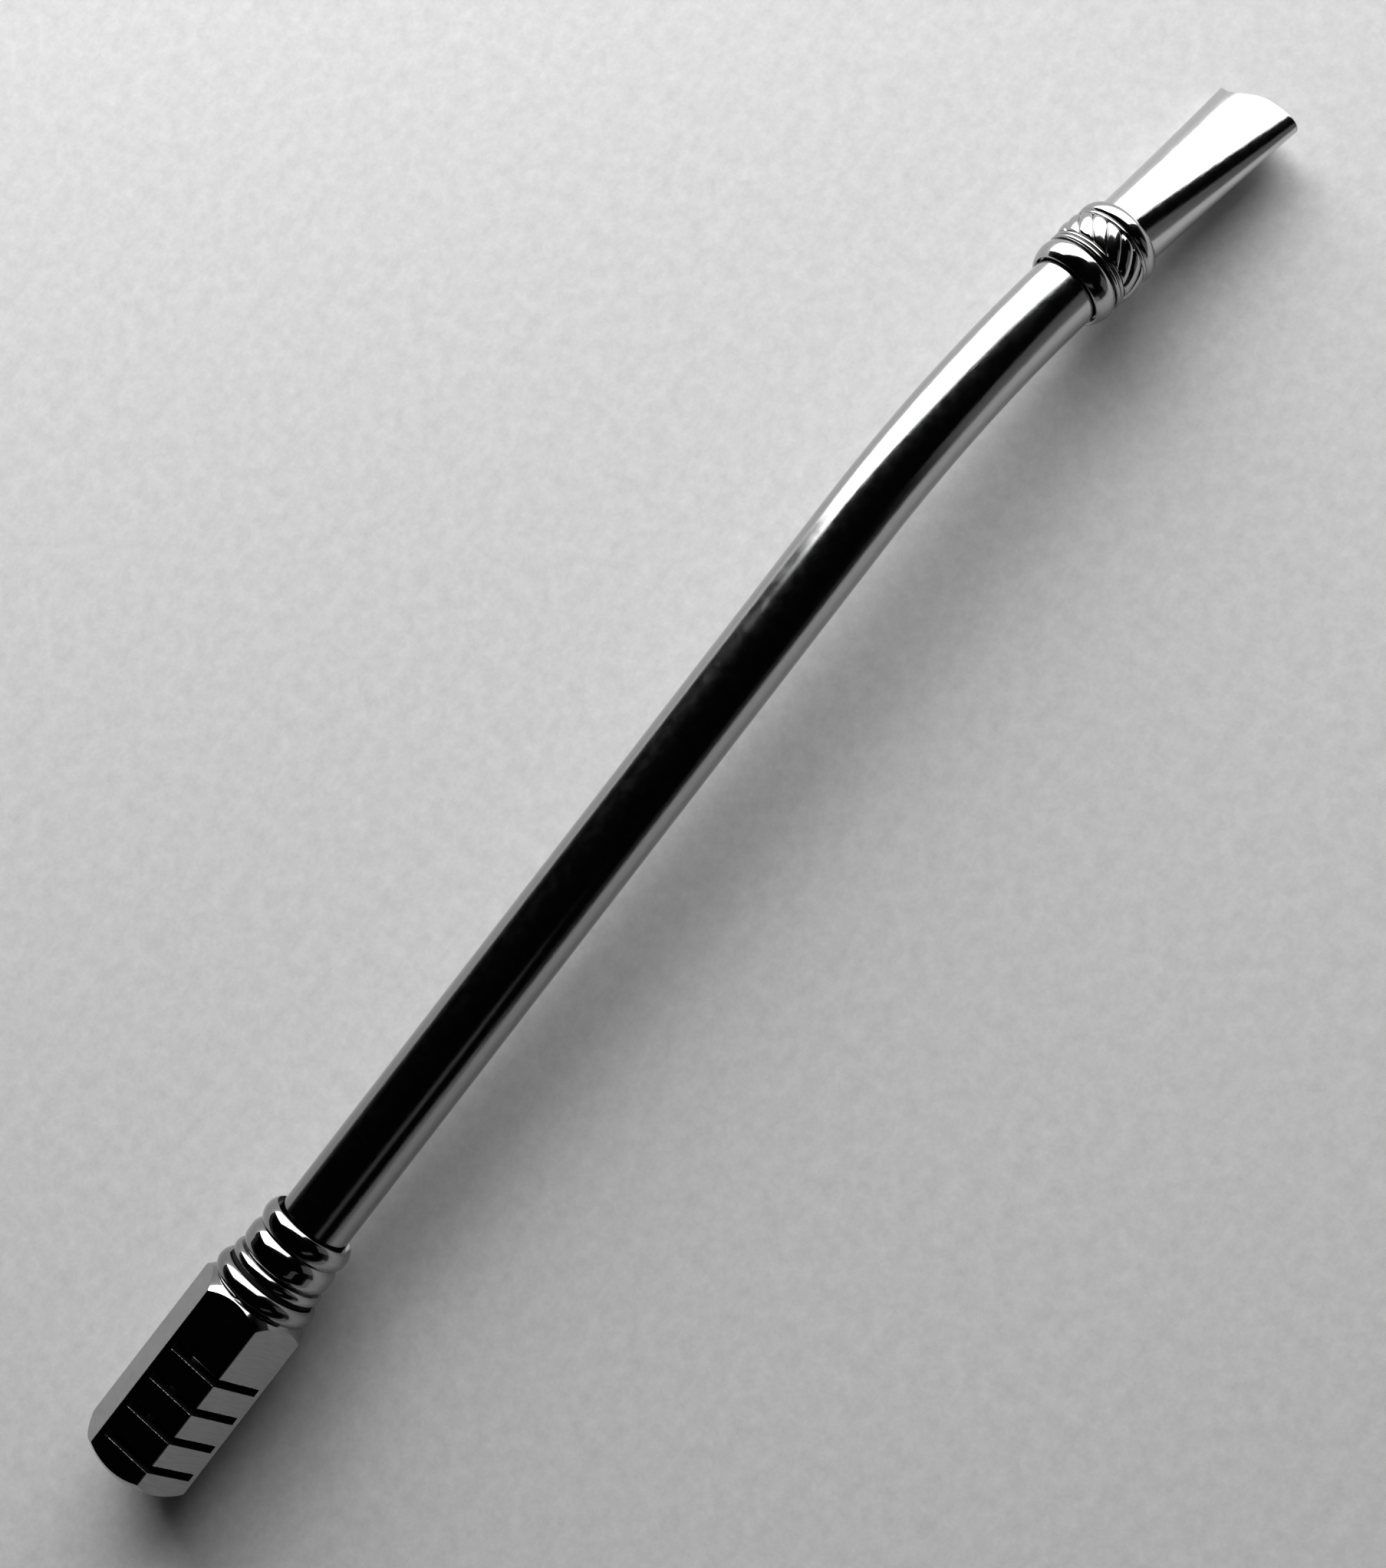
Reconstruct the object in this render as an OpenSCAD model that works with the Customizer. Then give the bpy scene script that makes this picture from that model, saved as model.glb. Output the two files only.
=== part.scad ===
// Bombilla: a metal drinking straw for mate, lying at rest on a table.
// A bent tube carries a flattened mouthpiece behind a decorated collar. A slotted hexagonal strainer
// head screws on to a turned neck at the other end, so that it can be taken off and cleaned.
// All lengths are in millimetres. Each piece is drawn on a bench frame, with the stem's axis along +Z,
// the tip of the head at zero and +X down, and is then laid on the table in one move.

/* [Stem] */
// Outside diameter of the drawn tube
stem_d = 8; // [7:0.1:9]
// Wall of the drawn tube
stem_wall = 0.6; // [0.45:0.05:0.8]
// Straight lower leg, from its seat in the neck to the start of the bend
leg_l = 95.9; // [70:0.1:130]
// Radius of the bend, on the axis of the tube
bend_r = 150; // [100:1:200]
// Angle that the bend turns through
bend_angle = 12.7; // [9:0.1:16]
// Roll of the bend round the stem, from straight down to the right hand side
bend_roll = 31; // [25:1:40]

/* [Mouthpiece] */
// Length that shows beyond the collar
mouth_l = 21.15; // [14:0.05:26]
// Thickness of the flattened oval end, over both walls
mouth_t = 4.4; // [3.6:0.1:5.6]
// Roll of the flattened end, from the plane of the bend
mouth_roll = 12; // [0:1:20]
// Wall of the mouthpiece
mouth_wall = 0.6; // [0.45:0.05:0.8]
// Rounding of the lip's outer edge
lip_r = 0.3; // [0.1:0.05:0.4]

/* [Collar] */
// Wall of the sleeve that joins the stem and the mouthpiece
sleeve_wall = 0.5; // [0.4:0.05:0.8]
// How far the end beads reach past the ends of the sleeve
bead_reach = 0.65; // [0.4:0.05:0.9]
// Step of the stem and the mouthpiece where they enter the sleeve
shoulder = 0.1; // [0.06:0.01:0.15]
// Width of the end bead on the stem's side
low_bead_w = 2.73; // [2.2:0.01:3.4]
// Its highest line, from the side that meets the wires
low_bead_peak = 1.1; // [0.3:0.05:1.3]
// Width of the end bead on the mouthpiece's side
high_bead_w = 1.85; // [1.4:0.01:2.6]
// Its highest line, from the side that meets the wire
high_bead_peak = 0.5; // [0.3:0.05:1.2]
// Height of the end beads over the sleeve
bead_h = 0.52; // [0.3:0.02:0.7]
// Diameter of one fine wire; the stem's side has a pair of them
wire_d = 0.44; // [0.3:0.02:0.6]
// Width of the rope band
rope_w = 2.8; // [2:0.1:3.6]
// Height of the rope's strands over the sleeve
rope_h = 0.68; // [0.5:0.02:0.9]
// Depth of the grooves between the strands
rope_groove = 0.3; // [0.15:0.01:0.36]
// Number of strands round the rope band
rope_strands = 15; // [12:1:20]
// Angle of the strands, from the axis
rope_angle = 45; // [25:1:50]
// Angle by which the rope band is turned on the sleeve
rope_phase = 14.2; // [0:0.1:30]

/* [Neck ferrule] */
// Depth of the socket that holds the stem
socket_l = 5; // [3.5:0.1:6]
// Metal round the stem in the valleys between the beads
neck_wall = 0.7; // [0.5:0.05:1]
// Width of the flange that backs the seal
flange_w = 1.25; // [0.8:0.05:1.6]
// Height of the flange over the valleys
flange_h = 0.55; // [0.3:0.05:0.6]
// Width of the barrel
barrel_w = 3; // [2.4:0.1:4.2]
// Height of the barrel over the valleys
barrel_h = 0.4; // [0.2:0.01:0.5]
// How much of the barrel's crown is turned off flat
barrel_skim = 0.07; // [0.02:0.01:0.12]
// Width of the top bead
top_w = 2.95; // [2.4:0.05:4]
// Its highest line, from the barrel's side
top_peak = 1.25; // [0.6:0.05:1.5]
// Height of the top bead over the valleys
top_h = 0.4; // [0.2:0.01:0.5]
// Depth of the dark gap round the stem in the neck's mouth
mouth_gap_l = 0.8; // [0.4:0.1:1.2]
// Width of that gap, from the stem to the lip of the top bead
mouth_gap_w = 0.3; // [0.2:0.05:0.4]
// Length of the screwed spigot below the seal
spigot_l = 6; // [4.5:0.1:7.5]
// Wall of the screwed spigot
spigot_wall = 1.05; // [0.8:0.05:1.3]

/* [Strainer head] */
// Length of the hexagon, from the tip to the valley behind its shoulder
hex_l = 23.3; // [22:0.1:30]
// Metal between the bore and the middle of a flat
head_wall = 1.15; // [0.9:0.05:1.6]
// Radius of the turned, rounded tip
tip_r = 9.2; // [8.2:0.1:14]
// Metal at the middle of the closed tip
tip_wall = 2.6; // [1.6:0.1:3.2]
// Radius of the turned, rounded shoulder
shoulder_r = 8.2; // [7.6:0.1:12]
// Depth of the turned valley below the flats, behind the shoulder
valley = 0.35; // [0.1:0.05:0.5]
// Width of the round rim that meets the seal
rim_w = 2.05; // [1.4:0.05:2.6]
// Height of the rim over the flats
rim_h = 0.23; // [0.05:0.01:0.4]
// Number of saw cuts in each row; there is a row on each of two opposite corners
slot_count = 4; // [2:1:4]
// Distance from one saw cut to the next
slot_pitch = 3.65; // [2.6:0.05:3.8]
// Width of a saw cut
slot_w = 0.9; // [0.5:0.05:1.2]
// Middle of the first saw cut, from the tip
slot_first = 4.7; // [4.2:0.1:6]
// How far the saw cuts reach into the bore
slot_bite = 0.9; // [0.4:0.01:1.4]

/* [Seal and fits] */
// Thickness of the seal
seal_t = 0.35; // [0.3:0.05:0.8]
// How far the seal lies below the flange's edge
seal_recess = 0.25; // [0.15:0.05:0.4]
// Radial clearance of the screwed spigot in the head and the seal
screw_gap = 0.05; // [0.02:0.01:0.08]
// Gap of a soldered fit
solder_gap = 0.05; // [0.02:0.01:0.1]
// Open gap between the tube and the lips of the collar's end beads
lip_gap = 0.25; // [0.1:0.01:0.3]
// Thickness of the lips of the top bead and the end beads
lip_t = 0.12; // [0.08:0.01:0.2]

/* [Hidden] */

$fn = 96;
STEEL = [0.78, 0.79, 0.80];
STEEL_DARK = [0.66, 0.67, 0.69];
BLACK_RUBBER = [0.05, 0.05, 0.05];
EPS = 0.01;
SLOT_ROWS = [30, 210];

// Radii round the stem's axis
stem_r = stem_d / 2;
bore_r = stem_r - stem_wall;
socket_r = stem_r + solder_gap;
valley_r = socket_r + neck_wall;
flange_r = valley_r + flange_h;
spigot_r = bore_r + spigot_wall;
chamber_r = spigot_r + screw_gap;
flat_r = chamber_r + head_wall;
corner_r = flat_r / cos(30);
head_valley_r = flat_r - valley;
lip_bore_r = stem_r + lip_gap;
mouth_gap_r = stem_r + mouth_gap_w;
rim_r = flat_r + rim_h;
slot_floor_r = chamber_r - slot_bite;

// Stations along the stem's axis, from the tip
shoulder_z = hex_l - sqrt(shoulder_r ^ 2 - head_valley_r ^ 2);
head_l = hex_l + rim_w;
flange_z = head_l + seal_t;
barrel_z = flange_z + flange_w;
top_z = barrel_z + barrel_w;
neck_l = top_z + top_w;
seat_z = neck_l - socket_l;
bend_z = seat_z + leg_l;

// Rings of the collar, from its lower end
wires_w = 2 * wire_d + solder_gap;
wires_z = low_bead_w + solder_gap;
rope_z = wires_z + wires_w + solder_gap;
high_wire_z = rope_z + rope_w + solder_gap;
high_bead_z = high_wire_z + wire_d + solder_gap;
collar_l = high_bead_z + high_bead_w;
sleeve_l = collar_l - 2 * bead_reach;
shank_r = stem_r - shoulder;
shank_bore_r = bore_r + shoulder;
shank_root = 0.5;
sleeve_r = shank_r + solder_gap + sleeve_wall;
ring_r = sleeve_r + solder_gap;
rope_turn = rope_w * tan(rope_angle) / (ring_r + rope_h) * 180 / PI;

// The flattened end is an oval with the girth of the round tube
mouth_half_t = mouth_t / 2;
mouth_half_w = sqrt(2 * stem_r ^ 2 - mouth_half_t ^ 2);
mouth_reach = collar_l - bead_reach + mouth_l;

// Place and directions of the mouthpiece's end on the bench: along it, across its flats and along its width
bend_way = [cos(bend_roll), -sin(bend_roll), 0];
bend_side = [sin(bend_roll), cos(bend_roll), 0];
bend_across = cos(bend_angle) * bend_way - sin(bend_angle) * [0, 0, 1];
mouth_axis = sin(bend_angle) * bend_way + cos(bend_angle) * [0, 0, 1];
mouth_thin = cos(mouth_roll) * bend_across + sin(mouth_roll) * bend_side;
mouth_wide = cos(mouth_roll) * bend_side - sin(mouth_roll) * bend_across;
bend_end = bend_r * (1 - cos(bend_angle)) * bend_way + (bend_z + bend_r * sin(bend_angle)) * [0, 0, 1];
mouth_end = bend_end + mouth_reach * mouth_axis;

// How far the flattened end reaches from its middle in a given direction
function mouth_extent(way) = norm([mouth_half_w * (way * mouth_wide), mouth_half_t * (way * mouth_thin)]);

// The straw rests on the tip's end of the lower flat and on the low corner of the mouthpiece's end
heel_z = tip_r - sqrt(tip_r ^ 2 - flat_r ^ 2);
mouth_low = mouth_end.x + mouth_extent([1, 0, 0]);
rest_pitch = atan((mouth_low - flat_r) / (mouth_end.z - heel_z));
rest_ahead = [sin(rest_pitch), 0, cos(rest_pitch)];

// Middle of the object's outline on the table, and the height of its axis over the heel
x_low = tip_r * (cos(rest_pitch) - 1);
x_high = rest_ahead * mouth_end + mouth_extent(rest_ahead);
y_low = mouth_end.y - mouth_extent([0, 1, 0]);
y_high = corner_r;
rest_height = flat_r * cos(rest_pitch) - heel_z * sin(rest_pitch);

// Lays a piece that is drawn on the bench on the table
module at_rest() {
    translate([-(x_low + x_high) / 2, -(y_low + y_high) / 2, rest_height])
        rotate([0, 90 - rest_pitch, 0])
            children();
}

// Moves a piece from the bench's origin to the end of the bend, in line with the upper part
module past_bend(along = 0) {
    translate(bend_end)
        rotate([0, 0, -bend_roll])
            rotate([0, bend_angle, 0])
                translate([0, 0, along])
                    children();
}

// Half section of a ring with a crowned outside, whose edges lie lower by crown; skim is turned off the top
module crowned_section(outer_r, width, crown, skim = 0) {
    rise = crown + skim;
    arc_r = (width ^ 2 / 4 + rise ^ 2) / (2 * rise);
    intersection() {
        square([outer_r, width]);
        translate([outer_r + skim - arc_r, width / 2])
            circle(arc_r);
    }
}

// Half section of a bead that closes on the tube: an arc, highest at peak, that falls to a lip at its far side
module closing_section(outer_r, bore_r, width, peak) {
    drop = outer_r - bore_r - lip_t;
    arc_r = ((width - peak) ^ 2 + drop ^ 2) / (2 * drop);
    intersection() {
        square([outer_r, width]);
        translate([outer_r - arc_r, peak])
            circle(arc_r);
    }
}

module ring_section(outer_r, inner_r) {
    difference() {
        circle(outer_r);
        circle(inner_r);
    }
}

module pipe(outer_r, inner_r, length) {
    linear_extrude(length)
        ring_section(outer_r, inner_r);
}

// Closed skin over a loop of rings that all have the same number of points
module skin(rings) {
    sides = len(rings[0]);
    loops = len(rings);
    function corner(k, i) = (k % loops) * sides + i % sides;
    polyhedron(
        points = [for (ring = rings) each ring],
        faces = [for (k = [0 : loops - 1], i = [0 : sides - 1]) each [
            [corner(k, i), corner(k + 1, i), corner(k + 1, i + 1)],
            [corner(k, i), corner(k + 1, i + 1), corner(k, i + 1)]
        ]]
    );
}

// Half section that the hexagonal bar is turned to: a round tip, a plain length and a round shoulder
module turned_section() {
    translate([0, tip_r])
        square([tip_r, shoulder_z - tip_r]);
    intersection() {
        translate([0, tip_r])
            circle(tip_r);
        square(tip_r);
    }
    translate([0, shoulder_z])
        intersection() {
            circle(shoulder_r);
            square([shoulder_r, hex_l - shoulder_z]);
        }
}

// Hexagonal strainer, drilled from the neck's end, with saw cuts across two opposite corners
module filter_head() {
    rim_lap = 0.1;
    color(STEEL_DARK) at_rest() difference() {
        union() {
            intersection() {
                rotate(30)
                    cylinder(r = corner_r, h = hex_l, $fn = 6);
                rotate_extrude()
                    turned_section();
            }
            translate([0, 0, hex_l - rim_lap])
                rotate_extrude()
                    crowned_section(rim_r, rim_w + rim_lap, rim_r - head_valley_r);
        }
        translate([0, 0, tip_wall])
            cylinder(r = chamber_r, h = head_l);
        for (row = SLOT_ROWS, i = [0 : slot_count - 1])
            rotate(row)
                translate([slot_floor_r, -corner_r, slot_first + i * slot_pitch - slot_w / 2])
                    cube([corner_r, 2 * corner_r, slot_w]);
    }
}

// Flat black ring pinched between the head's rim and the neck's flange
module seal_ring() {
    color(BLACK_RUBBER) at_rest()
        translate([0, 0, head_l])
            rotate_extrude()
                translate([chamber_r, 0])
                    square([flange_r - seal_recess - chamber_r, seal_t]);
}

// Turned neck: flange, barrel and top bead round the stem's socket, with the spigot that takes the head
module neck_ferrule() {
    color(STEEL) at_rest()
        rotate_extrude()
            difference() {
                union() {
                    translate([0, head_l - spigot_l])
                        square([spigot_r, spigot_l + seal_t]);
                    translate([0, flange_z])
                        square([valley_r, top_z + top_peak - flange_z]);
                    translate([0, flange_z])
                        crowned_section(flange_r, flange_w, flange_h);
                    translate([0, barrel_z])
                        crowned_section(valley_r + barrel_h, barrel_w, barrel_h, barrel_skim);
                    translate([0, top_z])
                        closing_section(valley_r + top_h, mouth_gap_r, top_w, top_peak);
                }
                translate([0, head_l - spigot_l - EPS])
                    square([bore_r, neck_l]);
                translate([0, seat_z])
                    square([socket_r, socket_l + EPS]);
                translate([0, neck_l - mouth_gap_l])
                    square([mouth_gap_r, mouth_gap_l + EPS]);
            }
}

// Drawn tube with one long bend, turned down at its upper end to enter the collar's sleeve
module stem_tube() {
    color(STEEL) at_rest() {
        rotate(-bend_roll) {
            translate([0, 0, seat_z])
                rotate(180)
                    pipe(stem_r, bore_r, leg_l);
            translate([bend_r, 0, bend_z])
                rotate([90, 0, 0])
                    rotate_extrude(angle = -bend_angle, start = 180)
                        translate([bend_r, 0])
                            ring_section(stem_r, bore_r);
        }
        past_bend(-shank_root)
            pipe(shank_r, shank_bore_r, shank_root + sleeve_l / 2);
    }
}

// Thin sleeve soldered over the butt joint of the stem and the mouthpiece
module collar_sleeve() {
    color(STEEL) at_rest()
        past_bend()
            pipe(sleeve_r, shank_r + solder_gap, sleeve_l);
}

// One end bead of the collar: it sits on the sleeve and closes on the tube past the sleeve's end
module collar_bead(width, peak) {
    rotate_extrude()
        difference() {
            closing_section(ring_r + bead_h, lip_bore_r, width, peak);
            square([ring_r, width - bead_reach + solder_gap]);
            square([lip_bore_r, width]);
        }
}

module collar_lower_bead() {
    color(STEEL) at_rest()
        past_bend(low_bead_w - bead_reach)
            rotate([180, 0, 0])
                collar_bead(low_bead_w, low_bead_peak);
}

module collar_upper_bead() {
    color(STEEL) at_rest()
        past_bend(high_bead_z - bead_reach)
            collar_bead(high_bead_w, high_bead_peak);
}

// One fine round wire of the collar
module collar_wire(from) {
    past_bend(from - bead_reach)
        rotate_extrude()
            translate([ring_r + wire_d / 2, wire_d / 2])
                circle(d = wire_d);
}

module collar_lower_wires() {
    color(STEEL_DARK) at_rest()
        for (i = [0, 1])
            collar_wire(wires_z + i * (wire_d + solder_gap));
}

module collar_upper_wire() {
    color(STEEL_DARK) at_rest() collar_wire(high_wire_z);
}

// Rope band: each strand is half round across, slants round the collar and dies away at the band's edges
module collar_rope_band() {
    strand_points = 8;
    levels = 8;
    inner_levels = 4;
    sides = rope_strands * strand_points;
    function ring(r, level) = [for (i = [0 : sides - 1])
        let (a = 360 * i / sides - rope_turn * level + rope_phase)
            [r[i % strand_points] * cos(a), r[i % strand_points] * sin(a), rope_w * level]];
    function strand(level) = [for (i = [0 : strand_points - 1])
        let (across = 2 * i / strand_points - 1, swell = sqrt(1 - (2 * level - 1) ^ 2))
            ring_r + rope_h - rope_groove * (2 - sqrt(1 - across ^ 2) - swell)];
    bore = [for (i = [1 : strand_points]) ring_r];
    // the levels crowd together at the band's edges, where the strands round off
    outside = [for (k = [0 : levels])
        let (level = (1 - cos(180 * k / levels)) / 2)
            ring(strand(level), level)];
    inside = [for (k = [inner_levels : -1 : 0]) ring(bore, k / inner_levels)];
    color(STEEL) at_rest()
        past_bend(rope_z - bead_reach)
            skin(concat(inside, outside));
}

// Mouthpiece: a root turned down for the sleeve, then a tube drawn out flat and wide towards the lips
module mouthpiece() {
    sides = 64;
    root_l = sleeve_l / 2;
    round_l = root_l + bead_reach;
    end_z = round_l + mouth_l;
    function outline(half_t, half_w, z) = [for (i = [0 : sides - 1])
        let (a = 360 * i / sides)
            [half_t * cos(a), half_w * sin(a), z]];
    // share is 0 where the tube is round and 1 at the lips
    function station(share, inset, z) = outline(
        stem_r + (mouth_half_t - stem_r) * share - inset,
        stem_r + (mouth_half_w - stem_r) * share - inset, z);
    color(STEEL) at_rest()
        past_bend(root_l)
            rotate(mouth_roll)
                skin([
                    outline(shank_r, shank_r, 0),
                    outline(shank_r, shank_r, root_l),
                    station(0, 0, root_l),
                    station(0, 0, round_l),
                    station(1 - lip_r / mouth_l, 0, end_z - lip_r),
                    station(1, lip_r * (1 - cos(45)), end_z - lip_r * (1 - sin(45))),
                    station(1, lip_r, end_z),
                    station(1, mouth_wall, end_z),
                    station(0, mouth_wall, round_l),
                    station(0, mouth_wall, 0)
                ]);
}

filter_head();
seal_ring();
neck_ferrule();
stem_tube();
collar_sleeve();
collar_lower_bead();
collar_lower_wires();
collar_rope_band();
collar_upper_wire();
collar_upper_bead();
mouthpiece();
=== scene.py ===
import math

import bmesh
import bpy
import numpy as np
from mathutils import Matrix, Vector


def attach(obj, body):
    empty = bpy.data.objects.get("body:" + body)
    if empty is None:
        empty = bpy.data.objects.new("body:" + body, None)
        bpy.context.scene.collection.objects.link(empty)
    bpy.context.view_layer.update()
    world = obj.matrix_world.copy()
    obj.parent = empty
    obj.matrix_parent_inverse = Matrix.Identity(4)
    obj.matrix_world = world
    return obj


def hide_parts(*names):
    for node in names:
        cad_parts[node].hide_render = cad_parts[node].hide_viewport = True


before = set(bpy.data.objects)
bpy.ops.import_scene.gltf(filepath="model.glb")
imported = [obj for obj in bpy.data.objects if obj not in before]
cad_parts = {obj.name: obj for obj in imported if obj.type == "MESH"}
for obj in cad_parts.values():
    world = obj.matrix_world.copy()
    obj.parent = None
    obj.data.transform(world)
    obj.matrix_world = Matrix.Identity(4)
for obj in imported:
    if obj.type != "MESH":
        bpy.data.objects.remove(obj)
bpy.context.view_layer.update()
bpy.context.scene.view_settings.view_transform = "Standard"

# Stem: one drawn steel tube, bent once over a former and polished by hand. Its lower end is soldered into
# the neck, and its upper end is turned down a little to enter the sleeve under the collar.
MM = 0.001
ROUND = 144                      # columns round a turned piece
stem_r, stem_wall = 4.0, 0.6
seat_z, leg_l = 27.9, 95.9
bend_r, bend_angle, bend_roll = 150.0, math.radians(12.7), math.radians(31.0)
bend_z = seat_z + leg_l
bend_squeeze = 0.022             # share by which the tube goes oval in the bend
stem_rows = 49                   # rows along the leg, and again along the bend
sleeve_l, shank_r = 7.65, 3.9
rest_pitch = math.radians(1.7815)
rest_shift = np.array([-93.0928, 1.8313, 5.5870])
weld_gap = 1e-7                  # metres within which corners are one
bend_way = np.array([math.cos(bend_roll), -math.sin(bend_roll), 0.0])
stem_way = np.array([0.0, 0.0, 1.0])
bend_end = (bend_r * (1 - math.cos(bend_angle)) * bend_way
            + (bend_z + bend_r * math.sin(bend_angle)) * stem_way)


def on_table(points):
    """Bench millimetres to metres on the table: x (down) and z (along the stem) turn by the rest pitch
    about y, then everything shifts so that the middle of the outline is over the origin."""
    x, y, z = np.moveaxis(points, -1, 0)
    ahead = x * math.sin(rest_pitch) + z * math.cos(rest_pitch)
    above = z * math.sin(rest_pitch) - x * math.cos(rest_pitch)
    return (np.stack([ahead, y, above], -1) + rest_shift) * MM


def past_bend(points):
    """From an axis at the origin to the upper axis: turned about y by the bend, about z by its roll, then
    moved to the end of the bend."""
    x, y, z = np.moveaxis(points, -1, 0)
    tilt_x = x * math.cos(bend_angle) + z * math.sin(bend_angle)
    tilt_z = z * math.cos(bend_angle) - x * math.sin(bend_angle)
    turned_x = tilt_x * math.cos(bend_roll) + y * math.sin(bend_roll)
    turned_y = y * math.cos(bend_roll) - tilt_x * math.sin(bend_roll)
    return np.stack([turned_x, turned_y, tilt_z], -1) + bend_end


def join_sheets(name, sheets, sharp=32):
    """One piece from sheets of bench points (rows, columns, 3), each with a mask of the quads to keep and,
    where a piece has two finishes, the number of each quad's finish. Borders that meet are welded, so rings,
    poles and seams close; the map "wrap" runs in millimetres along each sheet. Edges past sharp degrees stay
    crisp."""
    points, quads, wraps, finishes, start = [], [], [], [], 0
    for sheet, keep, *finish in sheets:
        rows, columns = sheet.shape[:2]
        corner = start + np.arange(rows * columns).reshape(rows, columns)
        across = np.linalg.norm(np.diff(sheet, axis=1), axis=2).mean(0)
        along = np.linalg.norm(np.diff(sheet, axis=0), axis=2).mean(1)
        u, v = np.meshgrid(np.append(0, np.cumsum(across)), np.append(0, np.cumsum(along)))
        wrap = np.stack([u, v], -1)
        mask = np.broadcast_to(keep, (rows - 1, columns - 1))
        for found, grid in ((quads, corner), (wraps, wrap)):
            found.append(np.stack([grid[:-1, :-1], grid[:-1, 1:], grid[1:, 1:], grid[1:, :-1]], 2)[mask])
        finishes.append(np.broadcast_to(finish[0] if finish else 0, mask.shape)[mask])
        points.append(sheet.reshape(-1, 3))
        start += rows * columns
    mesh = bpy.data.meshes.new(name)
    mesh.from_pydata(on_table(np.concatenate(points)), [], np.concatenate(quads).tolist())
    wrap_map = mesh.uv_layers.new(name="wrap")
    wrap_map.uv.foreach_set("vector", np.concatenate(wraps).astype(np.float32).ravel())
    mesh.polygons.foreach_set("material_index", np.concatenate(finishes).astype(np.int32))
    welded = bmesh.new()
    welded.from_mesh(mesh)
    bmesh.ops.remove_doubles(welded, verts=welded.verts, dist=weld_gap)
    bmesh.ops.recalc_face_normals(welded, faces=welded.faces)
    welded.to_mesh(mesh)
    welded.free()
    mesh.polygons.foreach_set("use_smooth", np.ones(len(mesh.polygons), bool))
    mesh.set_sharp_from_angle(angle=math.radians(sharp))
    piece = bpy.data.objects.new(name, mesh)
    bpy.context.scene.collection.objects.link(piece)
    return piece


def stem_sheet(radius):
    """Tube wall at a radius: circles along the straight leg, then along the arc of the bend to its end, where
    the tube is oval by a squeeze that swells and fades as the square of a sine."""
    turn = np.linspace(0, 2 * np.pi, ROUND + 1)
    leg = np.linspace(seat_z, bend_z, stem_rows)[:-1]
    share = np.linspace(0, 1, stem_rows)
    angle = np.append(np.zeros(leg.size), share * bend_angle)[:, None]
    middle_z = np.append(leg, bend_z + bend_r * np.sin(share * bend_angle))[:, None]
    middle_out = np.append(np.zeros(leg.size), bend_r * (1 - np.cos(share * bend_angle)))[:, None]
    squeeze = np.append(np.zeros(leg.size), bend_squeeze * np.sin(np.pi * share) ** 2)[:, None]
    out = radius * (1 - squeeze) * np.cos(turn)
    side = radius * (1 + squeeze) * np.sin(turn)
    x = middle_out + out * np.cos(angle)
    z = middle_z - out * np.sin(angle)
    return np.stack([x * math.cos(bend_roll) + side * math.sin(bend_roll),
                     side * math.cos(bend_roll) - x * math.sin(bend_roll), z + 0 * side], -1)


def turned_sheet(profile):
    """Surface of revolution round the bench's z: each (radius, height) of the profile becomes a circle."""
    turn = np.linspace(0, 2 * np.pi, ROUND + 1)
    radius, height = np.asarray(profile, float).T[:, :, None]
    return np.stack([radius * np.cos(turn), radius * np.sin(turn), height + 0 * turn], -1)


outer_wall, inner_wall = stem_sheet(stem_r), stem_sheet(stem_r - stem_wall)
shank_profile = [(stem_r, 0), (shank_r, 0), (shank_r, sleeve_l / 2), (stem_r - stem_wall, sleeve_l / 2),
                 (stem_r - stem_wall, 0)]
stem = join_sheets("stem", [(outer_wall, True), (inner_wall, True),
                            (np.stack([outer_wall[0], inner_wall[0]]), True),
                            (past_bend(turned_sheet(shank_profile)), True)])
line_tone, line_low, line_high = 0.86, 0.3, 0.62       # how dark the lines are, and the noise they come from
smear_low, smear_high = 0.35, 0.75                     # noise at which the polish is smooth, and worn
wave_scale, wave_height = 60.0, 0.03
line_detail, cloud_detail = 6.0, 4.0


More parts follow.
